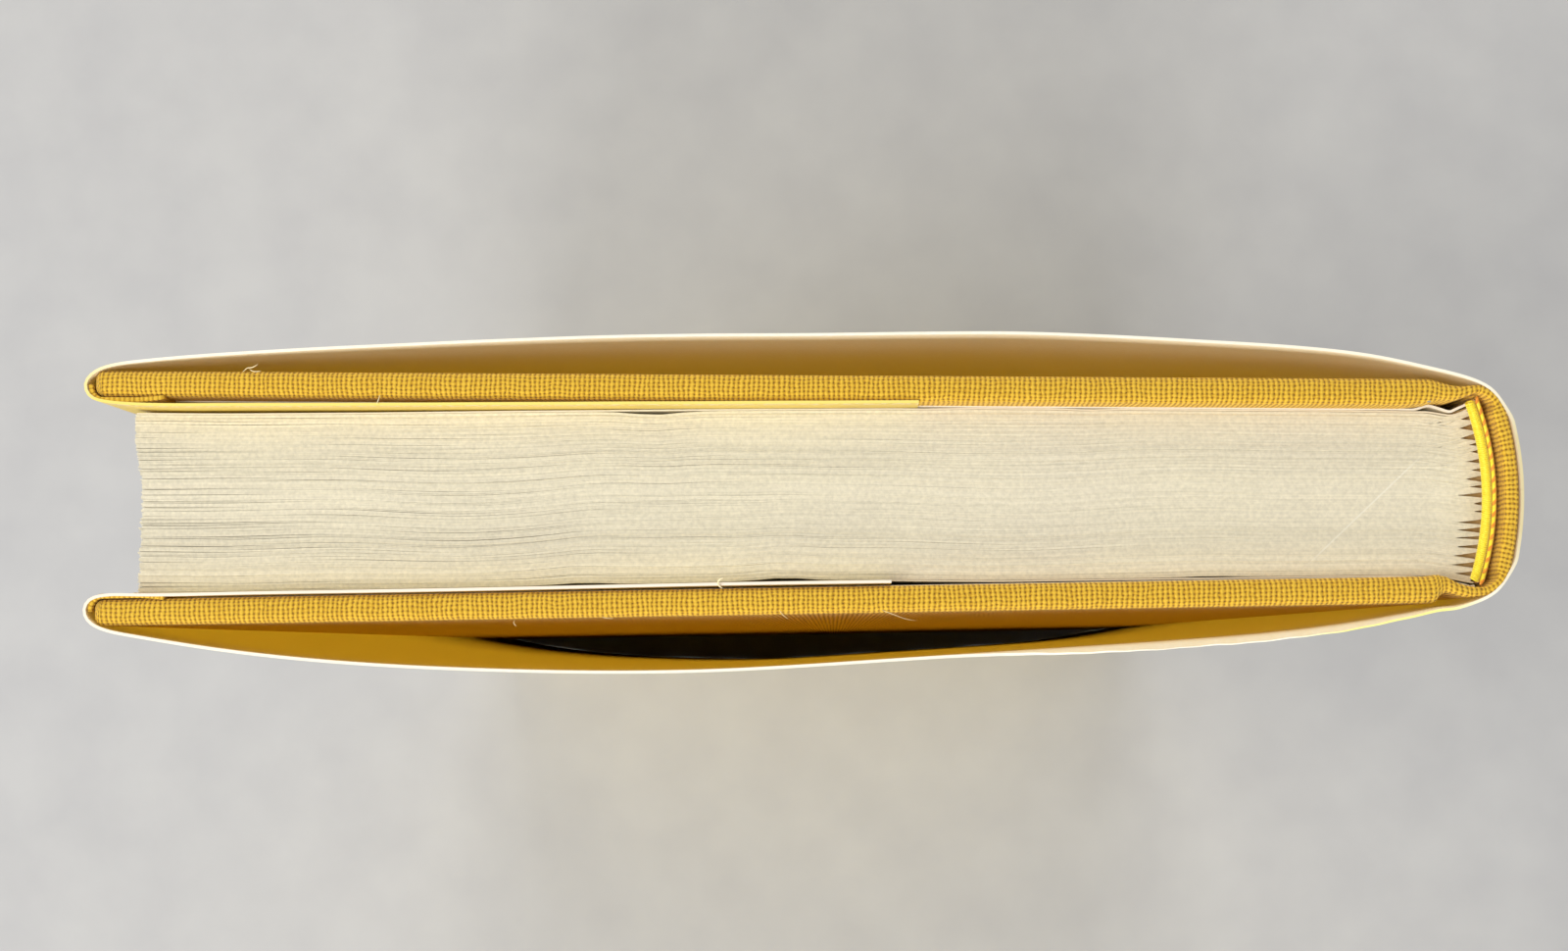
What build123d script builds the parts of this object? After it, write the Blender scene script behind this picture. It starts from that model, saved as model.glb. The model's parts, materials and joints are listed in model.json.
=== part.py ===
from build123d import *
import os
from math import atan2, cos, degrees, sin

# Hardcover book in a loose paper jacket, standing on its tail.
# X runs from the fore-edge to the spine, Y from the back cover to the front cover, Z up.
# Millimetres. The origin is the middle of the footprint.

# Pages
leaf_width = 139.7  # trimmed leaf, 5 1/2 in
leaf_height = 215.9  # trimmed leaf, 8 1/2 in
block_at_fore_edge = 18.7  # thickness of the pages where they are loose
block_at_joint = 16.1  # thickness of the pages where they are nipped
fore_edge_hollow = 0.5
back_round = 1.5  # how far the middle of the back stands out past its shoulders
shoulder_flare = 1.2  # how far a shoulder stands out sideways
shoulder_run = 5.5  # length over which the shoulder curves out
section_count = 20
section_notch = 1.2  # depth of the cleft between two folded sections
fold_crown = 0.25  # height of the round of one fold
fold_share = 0.6  # part of the pitch taken by the round of the fold

# Papers
endpaper = 0.12
paper_gap = 0.03
jacket_paper = 0.24
jacket_gap = 0.15  # clear of the spine
jacket_stand = 0.6  # clear of the board where the loose panel starts and ends
front_flap = 84.5
back_flap = 81.5
front_bulge = 4.4  # how far the loose panel stands off its chord
back_bulge = 5.6
front_peak = 0.61  # where along the panel it stands off most, from the fore-edge
back_peak = 0.43

# Case
head_square = 3.2  # overhang of the boards at head and tail
fore_square = 3.0  # overhang of the boards at the fore-edge
board = 2.15
board_edge_round = 0.4
cloth = 0.28
turn_in = 15.0
corner_lap = 7.5  # length of the folded cloth seen at a corner
corner_inset = 0.12  # end of that fold, clear of the level of the pages
joint_width = 4.6  # from the board to the hinge line
joint_depth = 1.1  # from the face of the board to the bottom of the groove
hump_drop = 0.65  # from the face of the board to the crest beside the groove
cover_gap = 0.25  # clear of the flyleaf at the joint
fore_gap = 0.85  # clear of the flyleaf at the fore-edge
hinge_gap = 0.3  # slot on each side of the hinge line
hinge_rise = 0.15  # hinge line above the jacket
paste_rise = 1.25  # climb of the pastedown in the joint, as a part of the room under the groove

# Back of the case
inlay = 1.0
hollow = 0.2  # free space behind the lining
lining = 0.25
inlay_share = 0.8  # part of the back that the card strip covers

# Bands at head and tail
bead = 1.5
bead_rise = 1.2  # clear height of the bead over the pages
band_tape = 11.0
band_share = 0.97  # part of the back that the bands and the lining cover

# Derived levels
case_height = leaf_height + 2 * head_square
half_joint = block_at_joint / 2
half_fore = block_at_fore_edge / 2
shoulder_y = half_joint + shoulder_flare
back_radius = (shoulder_y**2 + back_round**2) / (2 * back_round)
back_center_x = -back_radius
back_angle = atan2(shoulder_y, back_radius - back_round)
shoulder_x = -back_round - shoulder_run

leaf_out = half_joint + paper_gap + endpaper
paste_in = leaf_out + cover_gap
turn_y = paste_in + endpaper
board_in = turn_y + cloth
board_out = board_in + board
cloth_out = board_out + cloth

hinge_x = -back_round - hinge_gap
board_spine_x = hinge_x - joint_width
cloth_fore_x = -leaf_width - fore_square
board_fore_x = cloth_fore_x + cloth
lift = half_fore - half_joint + fore_gap - cover_gap
cover_angle = degrees(atan2(lift, leaf_width + hinge_x))

spine_in = back_radius + lining + hollow
inlay_in = spine_in + cloth
inlay_out = inlay_in + inlay
spine_out = inlay_out + cloth
inlay_angle = back_angle * inlay_share
hump_y = cloth_out - hump_drop
jacket_end_y = cloth_out
hinge_y = jacket_end_y + jacket_paper + hinge_rise


def polar(radius, angle):
    return Vector(back_center_x + radius * cos(angle), radius * sin(angle))


def slab(x_range, y_range, z_range):
    size = [b - a for a, b in (x_range, y_range, z_range)]
    middle = [(a + b) / 2 for a, b in (x_range, y_range, z_range)]
    return Pos(*middle) * Box(*size)


def upright(face, z_low, z_high):
    return Pos(0, 0, z_low) * extrude(face, amount=z_high - z_low, dir=(0, 0, 1))


def sheet(edges, thickness, outside):
    # A bent sheet drawn on one side of its path: outside is the side that the path bulges to.
    wire = Wire(edges)
    sides = [Face(wire.offset_2d(thickness, side=s, closed=True)) for s in (Side.LEFT, Side.RIGHT)]
    return max(sides, key=lambda f: f.area) if outside else min(sides, key=lambda f: f.area)


def drape(curves, thickness):
    # A sheet that hangs below a run of curves by its thickness.
    drop = Vector(0, -thickness)
    start = curves[0] @ 0
    end = curves[-1] @ 1
    lower = [Pos(drop) * curve for curve in curves]
    return make_face(curves + lower + [Line(start, start + drop), Line(end, end + drop)])


def swale(start, end):
    # Two equal arcs that leave level and arrive level.
    middle = (start + end) * 0.5
    first = TangentArc(start, middle, tangent=(1, 0))
    return [first, TangentArc(middle, end, tangent=first % 1)]


def ring(inner, outer, angle):
    low = ThreePointArc(polar(inner, -angle), polar(inner, 0), polar(inner, angle))
    high = ThreePointArc(polar(outer, -angle), polar(outer, 0), polar(outer, angle))
    return make_face([low, high, Line(low @ 0, high @ 0), Line(low @ 1, high @ 1)])


def block_side(rise):
    # One flat side of the pages and the shoulder that curves out of it.
    corner = Vector(-leaf_width, half_fore + rise)
    nip = Vector(shoulder_x, half_joint + rise)
    tip = polar(back_radius - fold_crown, back_angle) + Vector(0, rise)
    side = Line(corner, nip)
    return [side, TangentArc(nip, tip, tangent=side % 1)]


def mirrored(shape):
    return mirror(shape, about=Plane.XZ)


def opened(shape):
    # A cover built flat over the pages, lifted to its resting angle at the hinge line.
    return Pos(hinge_x, hinge_y, 0) * Rot(0, 0, -cover_angle) * Pos(-hinge_x, -hinge_y, 0) * shape


# Pages: a hollow fore-edge, two flat sides with shoulders, and a back of folded sections
top_side = block_side(0)
bottom_side = [mirrored(edge) for edge in top_side]
fore_edge = ThreePointArc(
    top_side[0] @ 0,
    Vector(-leaf_width + fore_edge_hollow, 0),
    bottom_side[0] @ 0,
)
pitch = 2 * back_angle / section_count
folds = []
last = top_side[1] @ 1
for i in range(section_count):
    middle = back_angle - (i + 0.5) * pitch
    half_fold = pitch * fold_share / 2
    start = polar(back_radius - fold_crown, middle + half_fold)
    finish = polar(back_radius - fold_crown, middle - half_fold)
    folds.append(Line(last, start))
    folds.append(ThreePointArc(start, polar(back_radius, middle), finish))
    cleft = back_radius - (section_notch if i < section_count - 1 else fold_crown)
    last = polar(cleft, back_angle - (i + 1) * pitch)
    folds.append(Line(finish, last))
block_face = make_face([fore_edge] + top_side + bottom_side + folds)
block_low = head_square
block_high = head_square + leaf_height
text_block = upright(block_face, block_low, block_high)

# Flyleaves: the loose half of each endpaper, lying on the pages up to the shoulder
low_side = block_side(paper_gap)
high_side = block_side(paper_gap + endpaper)
leaf_ends = [Line(low_side[0] @ 0, high_side[0] @ 0), Line(low_side[1] @ 1, high_side[1] @ 1)]
front_flyleaf = upright(make_face(low_side + high_side + leaf_ends), block_low, block_high)
rear_flyleaf = mirrored(front_flyleaf)

# Bands: a wrapped bead on a tape that is glued to the back at head and tail
bead_radius = back_radius + lining + hollow / 2 - bead / 2
bead_z = block_high + bead_rise + bead / 2
tape_span = (block_high - band_tape, bead_z)
core = Pos(bead_radius, bead_z) * Circle(bead / 2)
tape = Pos(back_radius + lining / 2, sum(tape_span) / 2) * Rectangle(lining, band_tape + bead_z - block_high)
profile = Plane.XZ * (core + tape)
swing = degrees(back_angle) * band_share
band = revolve(Rot(0, 0, -swing) * profile, Axis.Z, 2 * swing)
head_band = Pos(back_center_x, 0, 0) * band
tail_band = mirror(head_band, about=Plane.XY.offset(case_height / 2))

# Lining: between the two tapes, on the folds of the sections
lining_face = ring(back_radius, back_radius + lining, back_angle * band_share)
spine_lining = upright(lining_face, block_low + band_tape, block_high - band_tape)

# Back of the case: a card strip, and cloth that wraps it and rounds over to the hinge lines
spine_inlay = upright(ring(inlay_in, inlay_out, inlay_angle), cloth, case_height - cloth)


def case_round(rise, end_y):
    # The bend from the edge of the card strip over to the hinge line.
    start = polar(spine_out + rise, inlay_angle)
    end = Vector(hinge_x + hinge_gap, end_y)
    return TangentArc(start, end, tangent=(-sin(inlay_angle), cos(inlay_angle)))


def case_path(rise, end_y):
    bend = case_round(rise, end_y)
    back = ThreePointArc(mirrored(bend) @ 0, polar(spine_out + rise, 0), bend @ 0)
    return [mirrored(bend).edge(), back.edge(), bend.edge()]


outer_layer = sheet(case_path(0, hump_y), cloth, False)
rounds = sheet([case_round(0, hump_y).edge()], 2 * cloth, False)
turned = ring(spine_in, inlay_out, inlay_angle) + rounds + mirrored(rounds)
spine_cloth = upright(outer_layer, 0, case_height)
spine_cloth += upright(turned, 0, turn_in)
spine_cloth += upright(turned, case_height - turn_in, case_height)
spine_cloth -= spine_inlay

# Boards
board_low = cloth
board_high = case_height - cloth


def rounded_plate(x_range, y_range, z_range, radius):
    plate = slab(x_range, y_range, z_range)
    spine_edges = plate.edges().filter_by_position(Axis.X, x_range[1] - 0.01, x_range[1] + 0.01)
    return fillet(plate.edges() - spine_edges, radius)


board_x = (board_fore_x, board_spine_x)
flat_board = rounded_plate(board_x, (board_in, board_out), (board_low, board_high), board_edge_round)
front_board = opened(flat_board)
back_board = mirrored(front_board)

# Cloth of a cover: over the board, turned in on three sides, dipping into the joint
wrap = rounded_plate(
    (cloth_fore_x, board_spine_x),
    (turn_y, cloth_out),
    (0, case_height),
    board_edge_round + cloth,
)
window_x = cloth_fore_x + turn_in
window_z = (turn_in, case_height - turn_in)
wrap -= flat_board
wrap -= slab((window_x, board_spine_x), (turn_y, board_in), window_z)
groove_end = Vector(hinge_x - hinge_gap, hump_y)
groove_start = Vector(board_spine_x, cloth_out)
groove_low = Vector((groove_start.X + groove_end.X) / 2, cloth_out - joint_depth)
groove = swale(groove_start, groove_low) + swale(groove_low, groove_end)
single = drape(groove, cloth)
double = drape(groove, 2 * cloth)
flat_cloth = wrap + upright(single, 0, case_height)
flat_cloth += upright(double, 0, turn_in)
flat_cloth += upright(double, case_height - turn_in, case_height)
lap_depth = head_square - board_edge_round - cloth - corner_inset
lap_x = (cloth_fore_x + board_edge_round + cloth, cloth_fore_x + corner_lap)
for lap_z in (board_edge_round + cloth, case_height - board_edge_round - cloth - lap_depth):
    flat_cloth += slab(lap_x, (turn_y - cloth, turn_y), (lap_z, lap_z + lap_depth))
front_cloth = opened(flat_cloth)
back_cloth = mirrored(front_cloth)

# Pastedowns: each dips where the turned-in cloth ends, and runs on into the joint
paste_x = (-leaf_width, board_spine_x + endpaper)
paste_z = (block_low, block_high)
floor_x = (window_x, board_spine_x)
hole_x = (window_x + endpaper, board_spine_x + endpaper)
hole_z = (window_z[0] + endpaper, window_z[1] - endpaper)
hole = slab(hole_x, (paste_in, board_in - endpaper), hole_z)
frame = slab(paste_x, (paste_in, turn_y), paste_z)
tray = slab(floor_x, (paste_in, board_in), window_z)
flat_paste = frame + tray - hole
joint_room = groove_low.Y - 2 * cloth - board_in
joint_low = Vector(board_spine_x, board_in)
joint_high = Vector(hinge_x - hinge_gap, board_in + paste_rise * joint_room)
flat_paste += upright(drape([Line(joint_low, joint_high)], endpaper), *paste_z)
step_x = (board_spine_x, board_spine_x + endpaper)
for step_z in ((block_low, turn_in + endpaper), (window_z[1] - endpaper, block_high)):
    flat_paste += slab(step_x, (paste_in, board_in), step_z)
front_pastedown = opened(flat_paste)
back_pastedown = mirrored(front_pastedown)


# Jacket: a loose panel, a round fold at the fore-edge and a flap behind the board
def jacket_panel(bulge, peak, flap_length):
    flap_y = turn_y - cloth - paper_gap
    span = cloth_out + jacket_stand - flap_y
    fold_x = cloth_fore_x + board_edge_round + cloth
    start = Vector(fold_x, cloth_out + jacket_stand)
    finish = Vector(hinge_x - hinge_gap, jacket_end_y)
    along = finish - start
    outward = Vector(-along.Y, along.X).normalized() * bulge
    top = start + along * peak + outward
    rise = 2 * atan2(bulge, along.length * peak)
    fall = 2 * atan2(bulge, along.length * (1 - peak))
    lean = atan2(along.Y, along.X)
    rising = TangentArc(start, top, tangent=(cos(lean + rise), sin(lean + rise)))
    falling = TangentArc(finish, top, tangent=(-cos(lean - fall), -sin(lean - fall)))
    radius = span / (1 + cos(lean + rise))
    flap_start = Vector(fold_x + radius * sin(lean + rise), flap_y)
    fold = TangentArc(start, flap_start, tangent=(-cos(lean + rise), -sin(lean + rise)))
    flap_end = Vector(cloth_fore_x + flap_length, paste_in - paper_gap)
    flap = Line(flap_start, flap_end)
    path = [flap.edge(), fold.edge(), rising.edge(), falling.edge()]
    return sheet(path, jacket_paper, True)


jacket_front = opened(upright(jacket_panel(front_bulge, front_peak, front_flap), 0, case_height))
jacket_back = mirrored(opened(upright(jacket_panel(back_bulge, back_peak, back_flap), 0, case_height)))
jacket_spine = upright(sheet(case_path(jacket_gap, jacket_end_y), jacket_paper, True), 0, case_height)

# All pieces, moved so that the origin is the middle of the footprint
pieces = {
    "text_block": text_block,
    "front_flyleaf": front_flyleaf,
    "rear_flyleaf": rear_flyleaf,
    "spine_lining": spine_lining,
    "head_band": head_band,
    "tail_band": tail_band,
    "spine_inlay": spine_inlay,
    "spine_cloth": spine_cloth,
    "jacket_spine": jacket_spine,
    "front_board": front_board,
    "front_cloth": front_cloth,
    "front_pastedown": front_pastedown,
    "jacket_front": jacket_front,
    "back_board": back_board,
    "back_cloth": back_cloth,
    "back_pastedown": back_pastedown,
    "jacket_back": jacket_back,
}
spine_end = spine_out - back_radius + jacket_gap + jacket_paper
front_box = jacket_front.bounding_box()
back_box = jacket_back.bounding_box()
center_x = (min(front_box.min.X, back_box.min.X) + spine_end) / 2
center_y = (front_box.max.Y + back_box.min.Y) / 2
os.makedirs("parts", exist_ok=True)
for name, shape in pieces.items():
    export_step(Pos(-center_x, -center_y, 0) * shape, f"parts/{name}.step")
print("hinge line x", round(hinge_x - center_x, 4), "front y", round(hinge_y - center_y, 4))
print("back y", round(-hinge_y - center_y, 4), "cover angle", round(cover_angle, 4))
print("mid plane y", round(-center_y, 4), "back of pages x", round(-center_x, 4))
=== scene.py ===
import json
import math
import bmesh
import bpy
import numpy as np
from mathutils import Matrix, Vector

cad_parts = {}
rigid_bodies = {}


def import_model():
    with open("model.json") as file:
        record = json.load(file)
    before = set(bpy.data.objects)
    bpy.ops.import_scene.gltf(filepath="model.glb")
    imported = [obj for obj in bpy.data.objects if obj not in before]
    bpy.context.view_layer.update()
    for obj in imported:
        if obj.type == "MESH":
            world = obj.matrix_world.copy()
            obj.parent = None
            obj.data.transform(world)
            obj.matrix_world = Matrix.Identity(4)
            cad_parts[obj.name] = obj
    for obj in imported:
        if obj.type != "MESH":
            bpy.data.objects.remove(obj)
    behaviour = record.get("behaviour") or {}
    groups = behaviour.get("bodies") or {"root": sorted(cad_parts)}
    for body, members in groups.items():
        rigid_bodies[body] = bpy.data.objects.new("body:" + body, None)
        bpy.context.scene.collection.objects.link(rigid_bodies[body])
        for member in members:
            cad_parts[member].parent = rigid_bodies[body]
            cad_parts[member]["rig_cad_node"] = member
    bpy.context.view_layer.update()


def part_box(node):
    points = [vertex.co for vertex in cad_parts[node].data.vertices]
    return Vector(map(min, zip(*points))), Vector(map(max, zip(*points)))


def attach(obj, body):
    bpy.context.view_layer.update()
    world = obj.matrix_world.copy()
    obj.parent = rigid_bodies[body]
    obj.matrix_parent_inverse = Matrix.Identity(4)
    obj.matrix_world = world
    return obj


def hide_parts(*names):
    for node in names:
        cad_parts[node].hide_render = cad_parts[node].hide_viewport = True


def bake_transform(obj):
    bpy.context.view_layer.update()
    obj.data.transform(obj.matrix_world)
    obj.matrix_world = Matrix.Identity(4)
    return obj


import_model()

# Pages: 160 leaves of cream book paper, folded and sewn in 20 sections, trimmed on three edges,
# then rounded and backed. They are pressed tight at the joint and stand a little apart towards
# the fore-edge, and clefts show between the folds at the back.
pages_low, pages_high = (1000 * np.array(corner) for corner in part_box("text_block"))
back_of_pages = np.array((pages_high[0], (pages_low[1] + pages_high[1]) / 2, 0))
tail_z, head_z = pages_low[2], pages_high[2]
page_height = head_z - tail_z
leaf_width = pages_high[0] - pages_low[0]
leaf_count, section_count = 160, 20
leaf_paper, widest_gap, deepest_gap, gap_shade_depth, open_leaves = 0.1015, 0.085, 0.6, 0.5, 0.34
back_radius, back_angle, fold_round = 29.271, math.radians(18.42), 0.25
shoulder_set_back = 1.5
gap_waves = 27.0, 58.0, 131.0
# The waves of the whole stack by height, length and start.
stack_waves = (0.34, 55, 1.0), (0.17, 29, 3.0)
# The outer pages by station: the distance in front of the back, and the distance from the middle plane.
outer_pages = {
    1: (
        (-139.7, 8.96), (-130, 8.84), (-115, 8.84), (-100, 8.92), (-75, 8.95), (-60, 8.9), (-57.5, 8.86),
        (-52, 8.9), (-43.5, 8.78), (-40.3, 8.64), (-37, 8.7), (-30, 8.6), (-14, 8.38), (-8, 8.24),
        (-5.7, 8.2), (-4.6, 8.0), (-3.5, 7.8), (-2.8, 7.96), (-2, 8.34), (-1.5, 8.58),
    ),
    -1: (
        (-139.7, 9.68), (-130, 9.62), (-115, 9.42), (-95, 9.12), (-78, 8.82), (-61, 8.63), (-50, 8.76),
        (-30, 8.56), (-12, 8.36), (-5.8, 8.34), (-3.2, 8.75), (-1.5, 9.15),
    ),
}
corner_ease = {1: 0.8, -1: 1.5}
page_hollows = {1: ((-85, 0.36),), -1: ((-72, 0.33), (-93, 0.22), (-28, 0.12))}
hollow_reach = 3.1
page_chance = np.random.default_rng(11)


def in_frame(points):
    """Millimetres from the back and the middle plane of the pages, as metres in the frame."""
    return (np.asarray(points) + back_of_pages) / 1000


def side_by_side(*parts):
    """Arrays spread to one shape and put together as points."""
    return np.stack(np.broadcast_arrays(*parts), axis=-1)


def in_scene(name, data):
    thing = bpy.data.objects.new(name, data)
    bpy.context.scene.collection.objects.link(thing)
    return thing


def eased(x, stations, values, reach):
    """A line through the given stations, with its corners eased off over a short reach."""
    fine = np.arange(-150.0, 5.0, 0.1)
    window = np.hanning(int(20 * reach) + 1)
    rough = np.pad(np.interp(fine, stations, values), len(window) // 2, mode="edge")
    return np.interp(x, fine, np.convolve(rough, window / window.sum(), mode="valid"))


def page_side(x, side, hollows=True):
    """Where the first or last page lies, out from the middle plane, at a distance from the back."""
    line = eased(x, *np.transpose(outer_pages[side]), corner_ease[side])
    for place, depth in page_hollows[side] if hollows else ():
        line = line - depth * np.exp(-(((x - place) / hollow_reach) ** 2))
    return line


def new_piece(name, vertices, faces, uv=None, smooth=True):
    """A mesh object with its place in its mesh, and a UV map in millimetres."""
    mesh = bpy.data.meshes.new(name)
    mesh.from_pydata(in_frame(vertices).tolist(), [], faces)
    if uv is not None:
        layer = mesh.uv_layers.new(name="millimetres")
        corner_of = np.empty(len(mesh.loops), int)
        mesh.loops.foreach_get("vertex_index", corner_of)
        layer.data.foreach_set("uv", np.asarray(uv, np.float32)[corner_of].ravel())
    mesh.polygons.foreach_set("use_smooth", np.full(len(mesh.polygons), smooth))
    return in_scene(name, mesh)


def grid_faces(rows, columns, first=0, closed=False):
    """Quads over a grid of points that is numbered row by row."""
    number = first + np.arange(rows * columns).reshape(rows, columns)
    if closed:
        number = np.column_stack((number, number[:, 0]))
    corners = number[:-1, :-1], number[1:, :-1], number[1:, 1:], number[:-1, 1:]
    return np.stack(corners, axis=-1).reshape(-1, 4)


# A leaf's edge runs along the head to the back, down the back, along the tail and up the fore-edge.
leaf_run = np.concatenate((np.linspace(0, 0.95, 58), np.linspace(0.956, 1, 12)))
back_levels = np.linspace(1, 0, 5)[1:-1]
fore_levels = np.linspace(0, 1, 26)[1:-1]
run_count, back_count, fore_count = len(leaf_run), len(back_levels), len(fore_levels)
along = np.concatenate((leaf_run, np.ones(back_count), leaf_run[::-1], np.zeros(fore_count)))
level = np.concatenate((np.ones(run_count), back_levels, np.zeros(run_count), fore_levels))
girth = np.concatenate((
    leaf_run * leaf_width,
    np.full(back_count, leaf_width),
    -page_height - leaf_run[::-1] * leaf_width,
    (fore_levels - 1) * page_height,
))
loop_count = len(girth)

# A third of the leaves stand open. Each gap swells and shrinks along the edge, and shuts at the back.
gap_count = leaf_count - 1
stands_open = page_chance.random(gap_count) < open_leaves
open_share = page_chance.uniform(0.5, 0.9, gap_count)
shut_share = page_chance.uniform(0.02, 0.2, gap_count)
gap_share = np.where(stands_open, open_share, shut_share)[:, None]
ripple = np.zeros((gap_count, loop_count))
for wave_length in gap_waves:
    phase = 2 * math.pi * page_chance.random((gap_count, 1))
    ripple += np.sin(2 * math.pi * girth / wave_length + phase)
opening = widest_gap * gap_share * (1.03 - along) ** 1.5 * np.clip(0.25 + 0.36 * ripple, 0, 1.2)

# Three rows of points make a leaf: its two faces, and the bottom of the gap before the next leaf.
row_count = 3 * leaf_count - 1
leaf_low = np.vstack((np.zeros(loop_count), np.cumsum(leaf_paper + opening, axis=0)))
leaf_y = np.empty((row_count, loop_count))
leaf_y[0::3] = leaf_low
leaf_y[1::3] = leaf_low + leaf_paper
leaf_y[2::3] = leaf_low[1:] - opening / 2
leaf_y /= leaf_low[-1] + leaf_paper
leaf_number = np.empty(row_count)
leaf_number[0::3] = np.arange(leaf_count) + 0.04
leaf_number[1::3] = np.arange(leaf_count) + 0.96
leaf_number[2::3] = np.arange(1, leaf_count)
which_leaf = leaf_number.astype(int)
share_up = leaf_number / leaf_count
gap_depth = np.zeros((row_count, loop_count))
gap_depth[2::3] = np.clip(7 * opening, 0.015, deepest_gap)

# Between the outer pages the stack sways in two long waves, which die out at the back.
sway = sum(high * np.sin(2 * math.pi * girth / long + start) for high, long, start in stack_waves)
sway *= np.clip(((1 - along) * leaf_width - 14) / 30, 0, 1)
sway *= 0.35 + 0.65 * np.clip(along * leaf_width / 25, 0, 1)
side_x = -leaf_width + along * (leaf_width - shoulder_set_back)
low_side, high_side = -page_side(side_x, -1), page_side(side_x, 1)
leaf_y = low_side + (high_side - low_side) * leaf_y + 4 * sway * leaf_y * (1 - leaf_y)

# At the fore-edge sections and leaves have slipped a little. At the back the folds fan out, notched.
section_slip = np.repeat(page_chance.normal(0, 0.07, section_count), leaf_count // section_count)
leaf_slip = section_slip + page_chance.normal(0, 0.07, leaf_count)
fore_bow = np.interp(share_up, (0, 0.08, 0.3, 0.66, 0.78, 1), (0.3, 0.5, 0.6, 0.5, -0.1, -0.35))
fore_x = -leaf_width + fore_bow + leaf_slip[which_leaf]
fold_lines = np.arange(section_count + 1) + np.pad(page_chance.normal(0, 0.11, section_count - 1), 1)
section_place = np.interp(share_up * section_count, fold_lines, np.arange(section_count + 1))
notch = np.rint(section_place).astype(int)
from_notch = np.abs(section_place - notch)
notch_depth = page_chance.uniform(1.2, 3.4, section_count + 1)[notch]
notch_width = page_chance.uniform(0.26, 0.56, section_count + 1)[notch]
notch_taper = page_chance.uniform(1.0, 2.0, section_count + 1)[notch]
edge_guard = np.clip(np.minimum(share_up, 1 - share_up) * 2 * section_count, 0, 1)
retreat = edge_guard * notch_depth * np.clip(1 - from_notch / notch_width, 0, 1) ** notch_taper
retreat += fold_round * (1 - 2 * from_notch) ** 2
fan = (2 * share_up - 1) * back_angle
back_line = -back_radius + (back_radius - retreat) * np.cos(fan)
leaf_rise = page_chance.normal(0, 0.012, leaf_count)[which_leaf]
leaf_x = fore_x[:, None] + along * (back_line - fore_x)[:, None] + np.where(along == 0, gap_depth, 0)
leaf_z = tail_z + level * page_height + np.where(level == 1, leaf_rise[:, None] - gap_depth, 0)
leaf_z += np.where(level == 0, gap_depth, 0)

page_points = np.stack((leaf_x, leaf_y, leaf_z), axis=-1).reshape(-1, 3)
page_faces = grid_faces(row_count, loop_count, closed=True)[:, ::-1].tolist()
head_run = list(range(run_count))
back_run = list(range(run_count, run_count + back_count))
tail_run = list(range(2 * run_count + back_count - 1, run_count + back_count - 1, -1))
fore_run = list(range(2 * run_count + back_count, loop_count))
for first, turned in ((0, True), ((row_count - 1) * loop_count, False)):
    for i in range(run_count - 1):
        page_face = [head_run[i], head_run[i + 1], tail_run[i + 1], tail_run[i]]
        if i == 0:
            page_face = page_face + fore_run
        if i == run_count - 2:
            page_face = page_face[:2] + back_run + page_face[2:]
        page_face = [first + number for number in page_face]
        page_faces.append(page_face[::-1] if turned else page_face)
page_uv = side_by_side(girth[None, :], leaf_number[:, None]).reshape(-1, 2)
pages = new_piece("pages", page_points, page_faces, page_uv, smooth=False)
# Painted shade: each point in a gap between leaves is marked by how deep it lies, and the page finish uses
# this mark to paint the gaps browner and darker.
gap_shade_mark = pages.data.attributes.new("gap", "FLOAT", "POINT")
gap_shade_mark.data.foreach_set("value", np.clip(gap_depth / gap_shade_depth, 0, 1).astype(np.float32).ravel())


def tone(red, green, blue):
    """A colour read off in 0 to 255, as Blender's linear colour."""
    shares = [c / 255 for c in (red, green, blue)]
    return [c / 12.92 if c <= 0.04045 else ((c + 0.055) / 1.055) ** 2.4 for c in shares] + [1]


def node(tree, kind, sockets=None, **settings):
    """A shader or geometry node with its settings and inputs, an input being a value or a link."""
    made = tree.nodes.new(kind)
    for key, value in settings.items():
        setattr(made, key, value)
    for key, value in (sockets or {}).items():
        if isinstance(value, bpy.types.NodeSocket):
            tree.links.new(value, made.inputs[key])
        else:
            made.inputs[key].default_value = value
    return made


def tree_of(*values):
    """The node tree that the first link among some values belongs to."""
    return next(value.id_data for value in values if isinstance(value, bpy.types.NodeSocket))


def maths(operation, a, b=0.0, c=0.0):
    return node(tree_of(a, b, c), "ShaderNodeMath", {0: a, 1: b, 2: c}, operation=operation).outputs[0]


def times(a, b):
    return maths("MULTIPLY", a, b)


def ranged(value, from_low, from_high, to_low=0, to_high=1):
    sockets = {0: value, 1: from_low, 2: from_high, 3: to_low, 4: to_high}
    return node(value.id_data, "ShaderNodeMapRange", sockets).outputs[0]


def blended(share, a, b, blend_type="MIX"):
    tree, sockets = tree_of(share, a, b), {0: share, 6: a, 7: b}
    return node(tree, "ShaderNodeMix", sockets, data_type="RGBA", blend_type=blend_type).outputs[2]


def mottled(pattern, a, b, low=0.3, high=0.7):
    """One colour passing into another where a pattern rises from low to high."""
    return blended(ranged(pattern, low, high), a, b)


def speckle(place, scale, detail=2.0):
    """A soft random pattern over a piece."""
    sockets = {"Vector": place, "Scale": scale, "Detail": detail}
    return node(place.id_data, "ShaderNodeTexNoise", sockets).outputs[0]


def place_on(tree, space):
    """Where a point of a piece lies: its Object place in metres, or its own UV in millimetres."""
    return node(tree, "ShaderNodeTexCoord").outputs[space]


def apart(vector):
    return node(vector.id_data, "ShaderNodeSeparateXYZ", {0: vector}).outputs


def new_finish(name, roughness):
    """A material with one Principled shader, and its tree."""
    finish = bpy.data.materials.new(name)
    finish.use_nodes = True
    shader = finish.node_tree.nodes["Principled BSDF"]
    shader.inputs["Roughness"].default_value = roughness
    return finish, finish.node_tree, shader


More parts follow.
